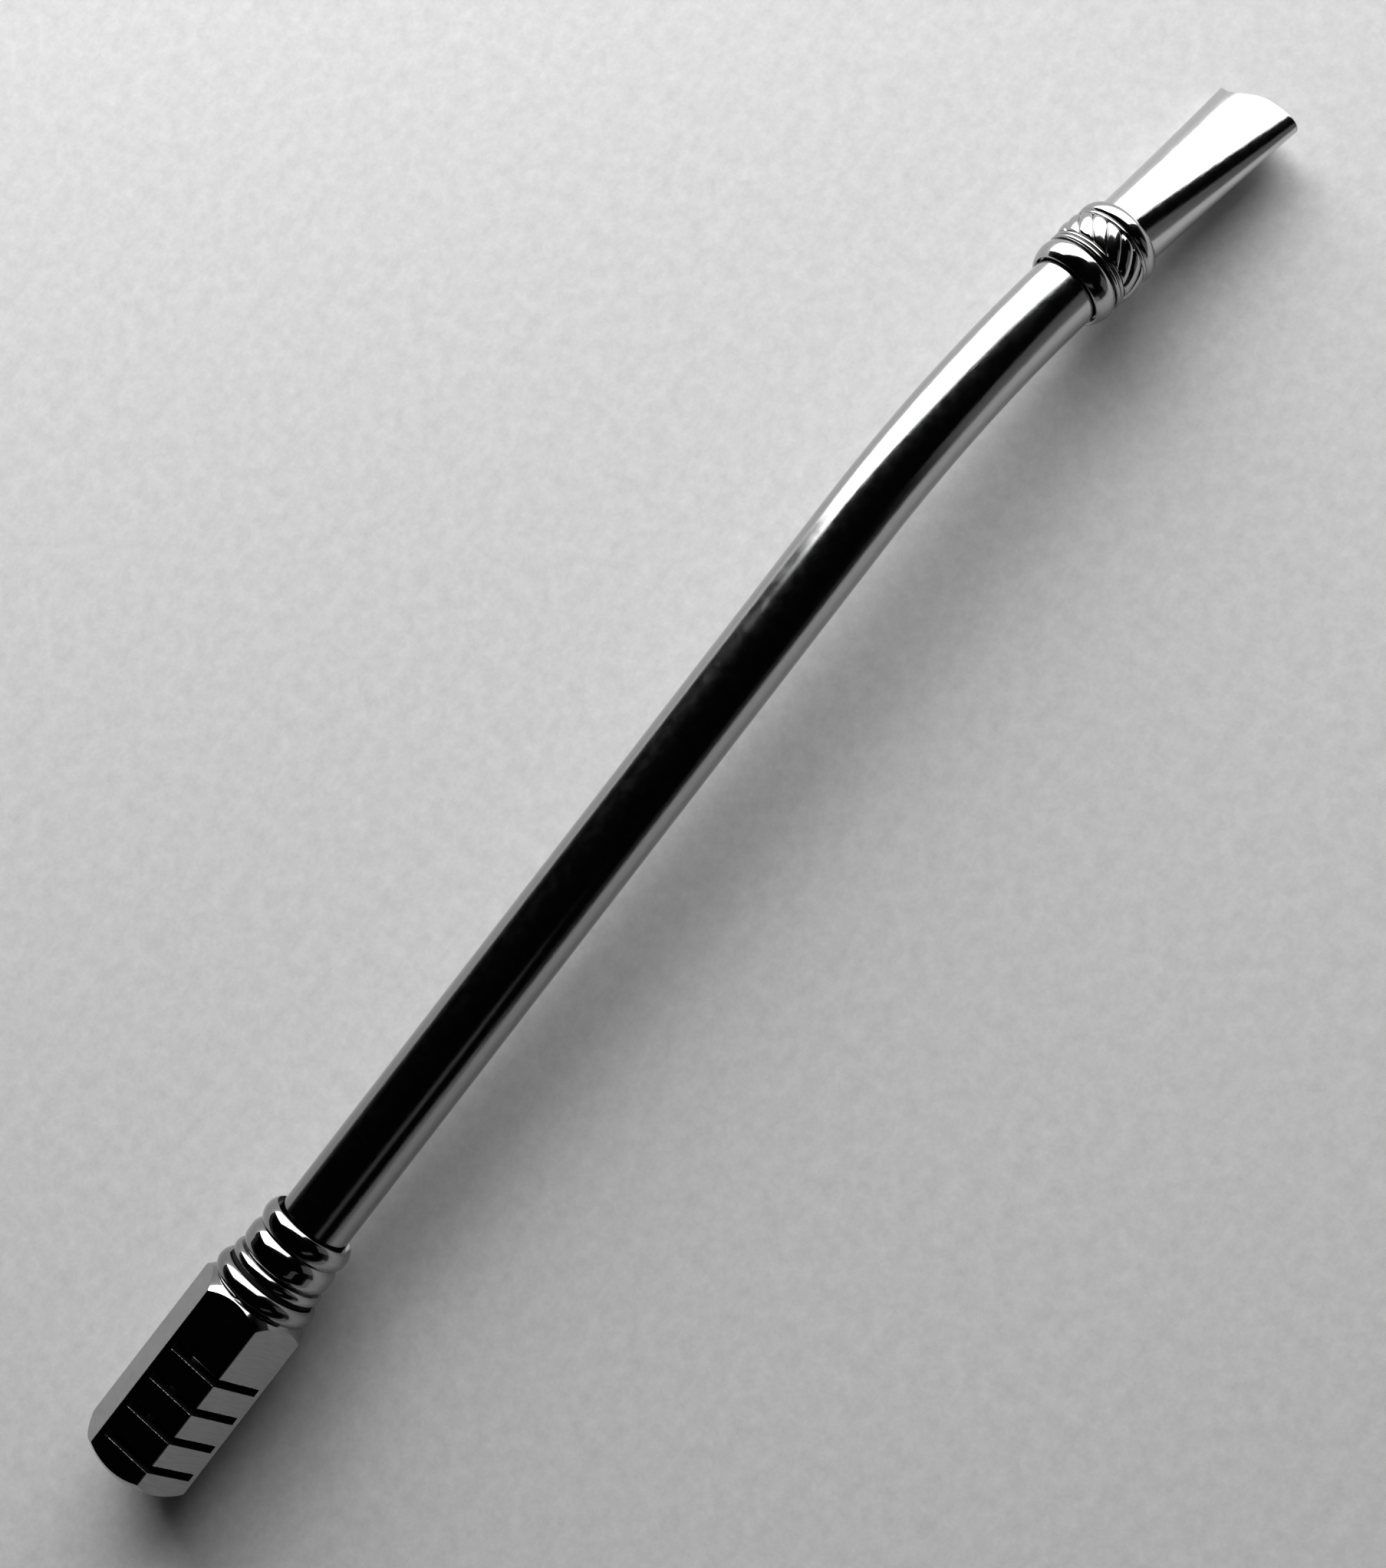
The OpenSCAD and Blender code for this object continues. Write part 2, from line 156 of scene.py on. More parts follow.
def steel(name, grey, smooth, worn, line_scale, line_depth, smear_scale):
    """Polished steel: drawn or turned lines as noise stretched along the surface's own map, cloudy smears
    that dull the polish from smooth to worn, and a very low wave that bends the reflections as hand work
    does."""
    finish = bpy.data.materials.new(name)
    finish.use_nodes = True
    nodes, links = finish.node_tree.nodes, finish.node_tree.links
    shader = nodes["Principled BSDF"]
    shader.inputs["Metallic"].default_value = 1.0
    place, wrap = nodes.new("ShaderNodeTexCoord"), nodes.new("ShaderNodeUVMap")
    wrap.uv_map = "wrap"
    stretch = nodes.new("ShaderNodeMapping")
    stretch.inputs["Scale"].default_value = line_scale
    links.new(wrap.outputs["UV"], stretch.inputs["Vector"])
    lines, smear, wave = (nodes.new("ShaderNodeTexNoise") for _ in range(3))
    links.new(stretch.outputs["Vector"], lines.inputs["Vector"])
    lines.inputs["Scale"].default_value, lines.inputs["Detail"].default_value = 1.0, line_detail
    for noise, scale in ((smear, smear_scale), (wave, wave_scale)):
        links.new(place.outputs["Object"], noise.inputs["Vector"])
        noise.inputs["Scale"].default_value, noise.inputs["Detail"].default_value = scale, cloud_detail
    dull = nodes.new("ShaderNodeMapRange")
    dull.inputs["From Min"].default_value, dull.inputs["From Max"].default_value = smear_low, smear_high
    dull.inputs["To Min"].default_value, dull.inputs["To Max"].default_value = smooth, worn
    links.new(smear.outputs["Fac"], dull.inputs["Value"])
    links.new(dull.outputs["Result"], shader.inputs["Roughness"])
    tone = nodes.new("ShaderNodeValToRGB")
    groove, ground = tone.color_ramp.elements
    groove.color, groove.position = (*[line_tone * grey] * 3, 1), line_low
    ground.color, ground.position = (*[grey] * 3, 1), line_high
    links.new(lines.outputs["Fac"], tone.inputs["Fac"])
    links.new(tone.outputs["Color"], shader.inputs["Base Color"])
    relief, ripple = nodes.new("ShaderNodeBump"), nodes.new("ShaderNodeBump")
    relief.inputs["Distance"].default_value = line_depth * MM
    ripple.inputs["Distance"].default_value = wave_height * MM
    links.new(lines.outputs["Fac"], relief.inputs["Height"])
    links.new(wave.outputs["Fac"], ripple.inputs["Height"])
    links.new(ripple.outputs["Normal"], relief.inputs["Normal"])
    links.new(relief.outputs["Normal"], shader.inputs["Normal"])
    return finish


def finish_piece(piece, finish, slot, body, *nodes):
    """Gives a piece its finish, attaches it to its body and hides the CAD nodes it stands for; slot is not
    used.
    """
    piece.data.materials.append(finish)
    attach(piece, body)
    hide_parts(*nodes)


drawn_finish = dict(smooth=0.10, worn=0.15, line_scale=(12.0, 0.5, 1.0), line_depth=0.006, smear_scale=900.0)
drawn_steel = steel("drawn_steel", grey=0.44, **drawn_finish)

# painted shade and light: the stem's tone runs from darker at its lower end to paler towards the bend
shaded_low_tone, lit_high_tone, shade_to_light_l = 0.72, 1.12, 130.0
drawn_nodes, drawn_links = drawn_steel.node_tree.nodes, drawn_steel.node_tree.links
drawn_colour = drawn_nodes["Principled BSDF"].inputs["Base Color"]
stem_map, stem_place = drawn_nodes.new("ShaderNodeUVMap"), drawn_nodes.new("ShaderNodeSeparateXYZ")
stem_map.uv_map = "wrap"
shade_and_light_ramp, shade = drawn_nodes.new("ShaderNodeMapRange"), drawn_nodes.new("ShaderNodeVectorMath")
shade_and_light_ramp.inputs["From Max"].default_value = shade_to_light_l
shade_and_light_ramp.inputs["To Min"].default_value, shade_and_light_ramp.inputs["To Max"].default_value = shaded_low_tone, lit_high_tone
shade.operation = "SCALE"
drawn_links.new(stem_map.outputs["UV"], stem_place.inputs["Vector"])
drawn_links.new(stem_place.outputs["Y"], shade_and_light_ramp.inputs["Value"])
drawn_links.new(drawn_colour.links[0].from_socket, shade.inputs["Vector"])
drawn_links.new(shade_and_light_ramp.outputs["Result"], shade.inputs["Scale"])
drawn_links.new(shade.outputs["Vector"], drawn_colour)
finish_piece(stem, drawn_steel, "stem_steel", "straw", "stem_tube")

# Neck: turned from steel bar, with a flange, a barrel and a top bead that closes on the stem. Its bored
# socket holds the stem, and a screwed spigot below the flange takes the head.
head_l, flange_z = 25.35, 25.7
flange_w, flange_r = 1.25, 5.3
barrel_w, barrel_r, barrel_skim = 3.0, 5.15, 0.07
top_r, top_rise, top_fall = 5.15, 1.25, 1.15
top_rise_arc, top_fall_arc, lip_round, lip_turn = 1.9, 1.8, 0.2, math.radians(92)
valley_r, barrel_valley_r, socket_r, bore_r = 4.98, 4.62, 4.05, 3.4
mouth_gap_l = 0.9
spigot_r, spigot_l, spigot_relief = 4.45, 6.0, 0.35
thread_pitch, thread_depth, thread_steps = 1.0, 0.36, 16
up_steps, down_steps, lip_steps, crown_steps = 15, 19, 11, 25


def crown(outer_r, width, drop, skim, start):
    """Crowned ring profile: an arc over the width that falls by drop at both edges, flat where skim is cut
    off."""
    rise = drop + skim
    arc_r = (width ** 2 / 4 + rise ** 2) / (2 * rise)
    along = width * (1 - np.cos(np.linspace(0, np.pi, crown_steps))) / 2
    radius = outer_r + skim - arc_r + np.sqrt(arc_r ** 2 - (along - width / 2) ** 2)
    return np.stack([np.minimum(radius, outer_r), start + along], -1)


def end_bead(crest_r, rise, rise_arc, fall, fall_arc, lip, turn_in, start=0.0):
    """End bead profile, by arcs that meet without a corner: up to the crest over its rise, down over its
    fall, and round a small lip that turns in towards the tube."""
    steep = math.asin(fall / fall_arc)
    up = np.linspace(-math.asin(rise / rise_arc), 0, up_steps)[:-1]
    down = np.linspace(0, steep, down_steps)
    round_lip = np.linspace(steep, turn_in, lip_steps)[1:]
    lip_r = crest_r - fall_arc * (1 - math.cos(steep)) - lip * math.cos(steep)
    radius = np.concatenate([crest_r - rise_arc * (1 - np.cos(up)), crest_r - fall_arc * (1 - np.cos(down)),
                             lip_r + lip * np.cos(round_lip)])
    along = np.concatenate([rise_arc * np.sin(up), fall_arc * np.sin(down),
                            fall - lip * math.sin(steep) + lip * np.sin(round_lip)])
    return np.stack([radius, start + rise + along], -1)


def thread_share(height, turn):
    """How far a thread's groove is cut at a height and turn, from 0 to 1: a cosine of the height in pitches
    minus the turn, which runs out over half a pitch at both ends."""
    ends = np.clip(np.minimum(height - height[0], height[-1] - height) / (thread_pitch / 2), 0, 1)
    return ends * (0.5 - 0.5 * np.cos(2 * np.pi * height / thread_pitch - turn))


def upright_sheet(radius, turn, height):
    """Sheet round the bench's z from a radius for each height and turn."""
    return np.stack([radius * np.cos(turn), radius * np.sin(turn), height + 0 * turn], -1)


barrel_z = flange_z + flange_w
top_z = barrel_z + barrel_w
top_bead = end_bead(top_r, top_rise, top_rise_arc, top_fall, top_fall_arc, lip_round, lip_turn, top_z)
mouth_gap_r, lip_z = top_bead[-1]
spigot_low, spigot_high = head_l - spigot_l, head_l - spigot_relief
neck_outside = np.concatenate([
    [(spigot_r, spigot_high), (spigot_r, flange_z), (valley_r, flange_z)],
    crown(flange_r, flange_w, flange_r - valley_r, 0, flange_z),
    crown(barrel_r, barrel_w, barrel_r - barrel_valley_r, barrel_skim, barrel_z), top_bead,
    [(mouth_gap_r, lip_z - mouth_gap_l), (socket_r, lip_z - mouth_gap_l), (socket_r, seat_z),
     (bore_r, seat_z), (bore_r, spigot_low), (spigot_r, spigot_low)]])
spigot_turn = np.linspace(0, 2 * np.pi, ROUND + 1)
spigot_count = int((spigot_high - spigot_low) / thread_pitch * thread_steps) + 1
spigot_rows = np.linspace(spigot_low, spigot_high, spigot_count)[:, None]
spigot_screw = spigot_r - thread_depth * thread_share(spigot_rows, spigot_turn)
neck = join_sheets("neck", [(turned_sheet(neck_outside), True),
                            (upright_sheet(spigot_screw, spigot_turn, spigot_rows), True)])
turned_steel = steel("turned_steel", grey=0.36, smooth=0.06, worn=0.15, line_scale=(0.12, 9.0, 1.0),
                     line_depth=0.001, smear_scale=300.0)
finish_piece(neck, turned_steel, "neck_steel", "straw", "neck_ferrule")

# Seal: a thin black rubber ring, pinched between the neck's flange and the rim of the head so that its edge
# bulges a little. It is the dark line between the two.
seal_r, seal_bore_r, seal_bulge, seal_steps = 5.0, 4.5, 0.05, 9
rubber_dark, rubber_pale, rubber_grain = 0.004, 0.012, 4000.0
rubber_dull, rubber_shine = 0.7, 0.1
seal_edge = np.linspace(-1, 1, seal_steps)
seal_profile = np.concatenate([[(seal_bore_r, head_l)],
                               np.stack([seal_r + seal_bulge * (1 - seal_edge ** 2),
                                         head_l + (flange_z - head_l) * (seal_edge + 1) / 2], -1),
                               [(seal_bore_r, flange_z), (seal_bore_r, head_l)]])
seal = join_sheets("seal", [(turned_sheet(seal_profile), True)])
black_rubber = bpy.data.materials.new("black_rubber")
black_rubber.use_nodes = True
rubber_nodes, rubber_links = black_rubber.node_tree.nodes, black_rubber.node_tree.links
rubber_shader = rubber_nodes["Principled BSDF"]
rubber_place = rubber_nodes.new("ShaderNodeTexCoord")
rubber_pits = rubber_nodes.new("ShaderNodeTexNoise")
rubber_pits.inputs["Scale"].default_value = rubber_grain
rubber_tone = rubber_nodes.new("ShaderNodeValToRGB")
for stop, grey in zip(rubber_tone.color_ramp.elements, (rubber_dark, rubber_pale)):
    stop.color = (grey, grey, grey, 1)
rubber_links.new(rubber_place.outputs["Object"], rubber_pits.inputs["Vector"])
rubber_links.new(rubber_pits.outputs["Fac"], rubber_tone.inputs["Fac"])
rubber_links.new(rubber_tone.outputs["Color"], rubber_shader.inputs["Base Color"])
rubber_shader.inputs["Roughness"].default_value = rubber_dull
rubber_shader.inputs["Specular IOR Level"].default_value = rubber_shine
finish_piece(seal, black_rubber, "seal_rubber", "seal", "seal_ring")

# Head: a length of hexagonal steel bar, turned round at its tip and behind its shoulder, drilled from the
# neck's end and sawn across two opposite corners, so that the cuts open into the bore and strain the leaves.
flat_r, corner_ease, edge_ease = 5.65, 0.22, 0.012
hex_l, tip_r, tip_wall = 23.3, 9.2, 2.6
shoulder_r, shoulder_z, head_valley_r = 8.2, 17.043, 5.3
rim_r, chamber_r = 5.88, 4.5
slot_first, slot_pitch, slot_w, slot_count = 4.7, 3.65, 0.9, 4
slot_floor, slot_reach = 3.6, 1.2                      # reach in radians, past the end of a cut's floor
burr_least, burr_most, burr_bias, burr_seed = 0.006, 0.08, 3, 5
burr_columns, burr_steps, tip_steps, shoulder_steps = 89, 5, 25, 9
kerf_margin = 0.02
kerf_flat = burr_most + kerf_margin                    # from a cut to where the flat is untouched
bore_thread_l, bore_thread_depth, bore_thread_rows, bore_mouth = 6.6, 0.26, 105, 0.1
corner_at = np.radians(30 + 60 * np.arange(6))
slot_rows = corner_at[[0, 3]]                          # the cuts cross two opposite corners
turn_digits = 7                                        # turns that agree so far are one column
half_flat = math.pi / 6                                # turn from the middle of a flat to its corner


def hexagon(turn):
    """Radius of a hexagon with eased corners: flats at their distance, and a small arc round each corner."""
    from_corner = (turn - corner_at[0] + half_flat) % (2 * half_flat) - half_flat
    flat = flat_r / np.cos(half_flat - np.abs(from_corner))
    arc_at = (flat_r - corner_ease) / math.cos(half_flat)
    inside = np.clip(corner_ease ** 2 - (arc_at * np.sin(from_corner)) ** 2, 0, None)
    arc = arc_at * np.cos(from_corner) + np.sqrt(inside)
    arc_end = math.atan2(corner_ease / 2, arc_at + corner_ease * math.cos(half_flat))
    return np.where(np.abs(from_corner) < arc_end, arc, flat)


def soft_min(a, b):
    """The smaller of two radii, with the edge between them rounded off over a few hundredths."""
    return np.minimum(a, b) - edge_ease * np.log1p(np.exp(-np.abs(a - b) / edge_ease))


def tip_radius(height):
    """Radius of the turned tip: a sphere that starts at height zero."""
    return np.sqrt(np.clip(tip_r ** 2 - (tip_r - height) ** 2, 0, None))


def shoulder_radius(height):
    """Radius of the turned shoulder: a sphere on the axis, cut off at the valley."""
    return np.sqrt(np.clip(shoulder_r ** 2 - (height - shoulder_z) ** 2, head_valley_r ** 2, None))


# columns: close together round each corner and along the saw cuts, and exactly on the ends of their floors
floor_open = math.acos(slot_floor / chamber_r)
floor_end = math.atan2((flat_r - slot_floor * math.cos(half_flat)) / math.sin(half_flat), slot_floor)
near_corner = np.radians([0.0, 0.4, 0.8, 1.1, 1.4, 1.8, 2.6, 5, 9, 14, 19, 24, 30])
near_slot = np.concatenate([[-floor_open, floor_open], np.linspace(-floor_end, floor_end, burr_columns)])
turns = np.concatenate([(corner_at[:, None] + near_corner).ravel(),
                        (corner_at[:, None] - near_corner).ravel(),
                        (slot_rows[:, None] + near_slot).ravel()]) % (2 * np.pi)
turns = np.unique(np.round(turns, turn_digits))
turns = np.append(turns, turns[0] + 2 * np.pi)
hex_r = hexagon(turns)
from_row = np.abs((turns[:, None] - slot_rows + np.pi) % (2 * np.pi) - np.pi).min(1)
floor_r = np.where(from_row < slot_reach, slot_floor / np.cos(np.minimum(from_row, slot_reach)), hex_r)
slot_r = np.clip(floor_r, chamber_r, hex_r)
column_from_row = (from_row[:-1] + from_row[1:]) / 2
# columns open through the cuts, and columns painted black as the shade inside the cuts
open_columns, kerf_shade_columns = column_from_row < floor_open, column_from_row < floor_end

# rows: from the pole of the tip over its edge, along the flats with a burred kerf at each cut, over the
# shoulder to the rim; each block of rows has its heights, its radii, and which rows are open and which are
# painted black as the shade of the cuts
edge_steps = np.array([0.4, 0.25, 0.15, 0.08, 0.04, 0.02])[:, None]
tip_edge = tip_r - np.sqrt(tip_r ** 2 - hex_r ** 2)
tip_heights = np.concatenate([(np.linspace(0, 1, tip_steps)[:-1, None] ** 2) * (tip_edge - edge_steps[0]),
                              tip_edge - edge_steps, [tip_edge], tip_edge + edge_steps[::-1]])
plain = np.zeros(len(tip_heights), bool)
blocks = [(tip_heights, soft_min(tip_radius(tip_heights), hex_r), plain, plain)]
chance = np.random.default_rng(burr_seed)
cut_lows = slot_first + slot_pitch * np.arange(slot_count) - slot_w / 2
for low, high in zip(cut_lows, cut_lows + slot_w):
    burr = burr_least + (burr_most - burr_least) * chance.random(turns.size) ** burr_bias
    burr = np.minimum(burr, hex_r - slot_r)
    burr[-1] = burr[0]
    kerf_edge = [(burr * (1 - np.sin(turn)), hex_r - burr * (1 - np.cos(turn)))
                 for turn in np.linspace(0, np.pi / 2, burr_steps)]
    stations = ([(low - kerf_flat, hex_r)] + [(low - back, r) for back, r in kerf_edge]
                + [(low, slot_r), (high, slot_r)]
                + [(high + back, r) for back, r in kerf_edge[::-1]] + [(high + kerf_flat, hex_r)])
    station = np.arange(len(stations))
    blocks.append((np.array([h + 0 * hex_r for h, r in stations]), np.array([r for h, r in stations]),
                   station == burr_steps + 1, (station >= burr_steps) & (station <= 2 * burr_steps + 1)))
shoulder_edge = shoulder_z + np.sqrt(shoulder_r ** 2 - hex_r ** 2)
shoulder_rows = np.concatenate([shoulder_edge - edge_steps, [shoulder_edge],
                                shoulder_edge + edge_steps[::-1]])
shoulder_fall = np.linspace(0, 1, shoulder_steps)[1:, None]
shoulder_rows = np.concatenate([shoulder_rows,
                                shoulder_rows[-1] + shoulder_fall * (hex_l - shoulder_rows[-1])])
plain = np.zeros(len(shoulder_rows), bool)
blocks.append((shoulder_rows, soft_min(shoulder_radius(shoulder_rows), hex_r), plain, plain))
rim = crown(rim_r, head_l - hex_l, rim_r - head_valley_r, 0, hex_l)[1:]
plain = np.zeros(len(rim), bool)
blocks.append((rim[:, 1:] + 0 * hex_r, rim[:, :1] + 0 * hex_r, plain, plain))
heights, radii, open_rows, kerf_shade_rows = (np.concatenate(part) for part in zip(*blocks))
head_outside = upright_sheet(radii, turns, heights)
outside_kept = ~(open_rows[:-1, None] & open_columns)

# the bore has a row at both sides of each cut, and opens between them; its thread takes the spigot
bore_heights = np.concatenate([[tip_wall], np.stack([cut_lows, cut_lows + slot_w], -1).ravel(),
                               [head_l - bore_thread_l]])[:, None]
bore_open = np.append(np.tile([False, True], slot_count), False)
bore_sheet = upright_sheet(chamber_r + 0 * bore_heights, turns, bore_heights)
bore_floor = np.stack([bore_sheet[0] * [0, 0, 1], bore_sheet[0]])
thread_rows = np.linspace(head_l - bore_thread_l, head_l - bore_mouth, bore_thread_rows)[:, None]
thread_r = chamber_r + bore_thread_depth * thread_share(thread_rows, turns)
thread_sheet = upright_sheet(thread_r, turns, thread_rows)
mouth_lip = np.stack([thread_sheet[-1], head_outside[-1]])
bore_kept = ~(bore_open[:, None] & open_columns)
# the second finish, black as painted shade, goes on the cuts' walls and floors and on the whole bore
head = join_sheets("head", [(head_outside, outside_kept, kerf_shade_rows[:-1, None] & kerf_shade_columns),
                            (bore_sheet, bore_kept, 1), (bore_floor, True, 1), (thread_sheet, True, 1),
                            (mouth_lip, True)])
milled_steel = steel("milled_steel", grey=0.30, smooth=0.06, worn=0.15, line_scale=(0.5, 4.0, 1.0),
                     line_depth=0.0012, smear_scale=350.0)
finish_piece(head, milled_steel, "head_steel", "head", "filter_head")

# the saw cuts and the bore are rough, and are painted black with almost no shine as painted shade of these
# deep recesses
kerf_shade_shine = 0.02
kerf_shade_steel = steel("kerf_shade_steel", grey=0.006, smooth=0.45, worn=0.7, line_scale=(0.4, 7.0, 1.0),
                   line_depth=0.006, smear_scale=500.0)
kerf_shade_shader = kerf_shade_steel.node_tree.nodes["Principled BSDF"]
kerf_shade_shader.inputs["Metallic"].default_value = 0.0
kerf_shade_shader.inputs["Specular IOR Level"].default_value = kerf_shade_shine
head.data.materials.append(kerf_shade_steel)

# Collar: a thin steel sleeve, soldered over the butt joint of the stem and the mouthpiece, carries the rings.
# The end beads close on the tube, and between them lie three fine wires and a band of slanted strands.
ring_r, bead_r, bead_reach, wire_r = 4.5, 5.02, 0.65, 0.22
bead_lip, bead_turn, bead_seat = 0.2, math.radians(150), 0.25
low_bead_z, low_rise, low_rise_arc, low_fall, low_fall_arc = 2.73, 1.1, 1.55, 1.5, 2.7
high_bead_z, high_rise, high_rise_arc, high_fall, high_fall_arc = 7.1, 0.5, 0.62, 1.2, 1.75
wire_starts = {"collar_lower_wires": (2.78, 3.27), "collar_upper_wire": (6.61,)}
wire_steps = 25


def bead_ring(rise, rise_arc, fall, fall_arc):
    """Closed half section of an end bead: its profile, then the seat that leaves the sleeve's end room."""
    profile = end_bead(bead_r, rise, rise_arc, fall, fall_arc, bead_lip, bead_turn)
    lip_r, lip_end = profile[-1]
    seat = [(lip_r, lip_end - bead_seat), (ring_r, lip_end - bead_seat), (ring_r, 0), profile[0]]
    return np.concatenate([profile, seat])


low_half = bead_ring(low_rise, low_rise_arc, low_fall, low_fall_arc) * [1, -1]
high_half = bead_ring(high_rise, high_rise_arc, high_fall, high_fall_arc)
low_profile = low_half + [0, low_bead_z - bead_reach]
high_profile = high_half + [0, high_bead_z - bead_reach]
low_bead = join_sheets("collar_low_bead", [(past_bend(turned_sheet(low_profile)), True)])
high_bead = join_sheets("collar_high_bead", [(past_bend(turned_sheet(high_profile)), True)])
collar_steel = steel("collar_steel", grey=0.44, smooth=0.06, worn=0.16, line_scale=(0.12, 8.0, 1.0),
                     line_depth=0.001, smear_scale=320.0)
finish_piece(low_bead, collar_steel, "collar_steel", "straw", "collar_lower_bead")
finish_piece(high_bead, collar_steel, "collar_steel", "straw", "collar_upper_bead")
wire_turn = np.linspace(0, 2 * np.pi, wire_steps)
for node, starts in wire_starts.items():
    rings = [np.stack([ring_r + wire_r + wire_r * np.cos(wire_turn),
                       start - bead_reach + wire_r + wire_r * np.sin(wire_turn)], -1) for start in starts]
    wires = join_sheets(node.replace("collar", "ring"),
                        [(past_bend(turned_sheet(ring)), True) for ring in rings])
    finish_piece(wires, collar_steel, "collar_steel", "straw", node)
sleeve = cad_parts["collar_sleeve"]
sleeve.data.materials.clear()
sleeve.data.materials.append(collar_steel)

# Rope band: a steel ring of slanted strands, like a rope, rolled in one piece and soldered on. Each strand
# is round across and dies away to a point at both edges of the band.
rope_z, rope_w, rope_h, rope_groove = 3.76, 2.8, 0.68, 0.3
rope_strands, strand_columns, rope_levels, rope_sharp = 15, 24, 41, 60
rope_turn, rope_phase = math.radians(30.97), math.radians(14.2)
levels = (1 - np.cos(np.linspace(0, np.pi, rope_levels)))[:, None] / 2
strand_turn = np.linspace(0, 2 * np.pi, rope_strands * strand_columns + 1)
across = (np.linspace(0, rope_strands, strand_turn.size) % 1) * 2 - 1
swell = np.sqrt(1 - (2 * levels - 1) ** 2)
strand_r = ring_r + rope_h - rope_groove * (2 - np.sqrt(1 - across ** 2) - swell)
strand_at = strand_turn - rope_turn * levels + rope_phase
strand_z = rope_z - bead_reach + rope_w * levels
rope_outside = upright_sheet(strand_r, strand_at, strand_z)
rope_inside = upright_sheet(ring_r, strand_at, strand_z)
rope_ends = [np.stack([rope_outside[row], rope_inside[row]]) for row in (0, -1)]
rope_sheets = (rope_outside, rope_inside, *rope_ends)
rope = join_sheets("collar_rope", [(past_bend(sheet), True) for sheet in rope_sheets], sharp=rope_sharp)
finish_piece(rope, collar_steel, "collar_steel", "straw", "collar_rope_band")

# Mouthpiece: a second length of the same steel tube, drawn out flat and wide towards the lips, cut square
# and rounded over at its edge so that it is smooth to the lips. Its turned root sits in the sleeve.
mouth_l, mouth_half_t, mouth_half_w, mouth_roll = 21.15, 2.2, 5.2115, math.radians(12.0)
mouth_wall, mouth_lip_r, mouth_rows, lip_rows = 0.6, 0.3, 41, 9
worn_at, worn_half, worn_depth, worn_reach = math.radians(146), math.radians(50), 1.05, 3.5
root_l = sleeve_l / 2
round_l = root_l + bead_reach
end_z = round_l + mouth_l
oval_turn = np.linspace(0, 2 * np.pi, ROUND + 1)
from_worn = np.clip((oval_turn - worn_at) / worn_half, -1, 1)
lip_wear = worn_depth * (0.5 + 0.5 * np.cos(np.pi * from_worn))


def oval_sheet(share, inset, height):
    """Rings that go from the round tube (share 0) to the flat oval of the lips (share 1), drawn in by an
    inset. Near the lips the rings sink by the wear, a cosine hump at one side of the upper edge."""
    share, inset, height = (np.asarray(part, float)[:, None] for part in (share, inset, height))
    x = (stem_r + (mouth_half_t - stem_r) * share - inset) * np.cos(oval_turn)
    y = (stem_r + (mouth_half_w - stem_r) * share - inset) * np.sin(oval_turn)
    sunk = lip_wear * np.clip(1 - (end_z - height) / worn_reach, 0, 1) ** 2
    return np.stack([x * math.cos(mouth_roll) - y * math.sin(mouth_roll),
                     x * math.sin(mouth_roll) + y * math.cos(mouth_roll), height + root_l - sunk], -1)


drawn = np.linspace(0, 1, mouth_rows)
rounding = np.linspace(0, np.pi / 2, lip_rows)
lip_share = 1 - mouth_lip_r / mouth_l
root_inset = stem_r - shank_r
mouth_share = np.concatenate([[0, 0, 0], drawn * lip_share, np.ones(rounding.size), [1], drawn[::-1], [0, 0]])
mouth_inset = np.concatenate([[root_inset, root_inset, 0], 0 * drawn, mouth_lip_r * (1 - np.cos(rounding)),
                              [mouth_wall], np.full(drawn.size + 1, mouth_wall), [root_inset]])
mouth_height = np.concatenate([[0, root_l, root_l], round_l + drawn * (mouth_l - mouth_lip_r),
                               end_z - mouth_lip_r * (1 - np.sin(rounding)), [end_z],
                               round_l + drawn[::-1] * mouth_l, [0, 0]])
mouth_tube = past_bend(oval_sheet(mouth_share, mouth_inset, mouth_height))
mouthpiece = join_sheets("mouthpiece_tube", [(mouth_tube, True)])
# painted light: the mouthpiece takes the stem's drawn steel, made paler
lit_lip_steel = steel("lit_lip_steel", grey=0.56, **drawn_finish)
finish_piece(mouthpiece, lit_lip_steel, "stem_steel", "straw", "mouthpiece")

# Table: plain pale paper, with the fine tooth of uncoated stock. It lies flat under the straw and takes its
# shadow.
table_half = 1.2
paper_dark, paper_pale, paper_dull = 0.49, 0.93, 0.9
tooth_scale, tooth_detail, tooth_rough, tooth_height = 500.0, 9.0, 0.8, 0.02
table_mesh = bpy.data.meshes.new("table")
table_corners = np.array([(-1, -1, 0), (1, -1, 0), (1, 1, 0), (-1, 1, 0)]) * table_half
table_mesh.from_pydata(table_corners, [], [(0, 1, 2, 3)])
table = bpy.data.objects.new("table", table_mesh)
bpy.context.scene.collection.objects.link(table)
paper = bpy.data.materials.new("pale_paper")
paper.use_nodes = True
paper_nodes, paper_links = paper.node_tree.nodes, paper.node_tree.links
paper_shader = paper_nodes["Principled BSDF"]
paper_place = paper_nodes.new("ShaderNodeTexCoord")
paper_tooth = paper_nodes.new("ShaderNodeTexNoise")
paper_tooth.inputs["Scale"].default_value = tooth_scale
paper_tooth.inputs["Detail"].default_value = tooth_detail
paper_tooth.inputs["Roughness"].default_value = tooth_rough
paper_tone = paper_nodes.new("ShaderNodeValToRGB")
for stop, grey in zip(paper_tone.color_ramp.elements, (paper_dark, paper_pale)):
    stop.color = (grey, grey, grey, 1)
paper_bump = paper_nodes.new("ShaderNodeBump")
paper_bump.inputs["Distance"].default_value = tooth_height * MM
paper_links.new(paper_place.outputs["Object"], paper_tooth.inputs["Vector"])
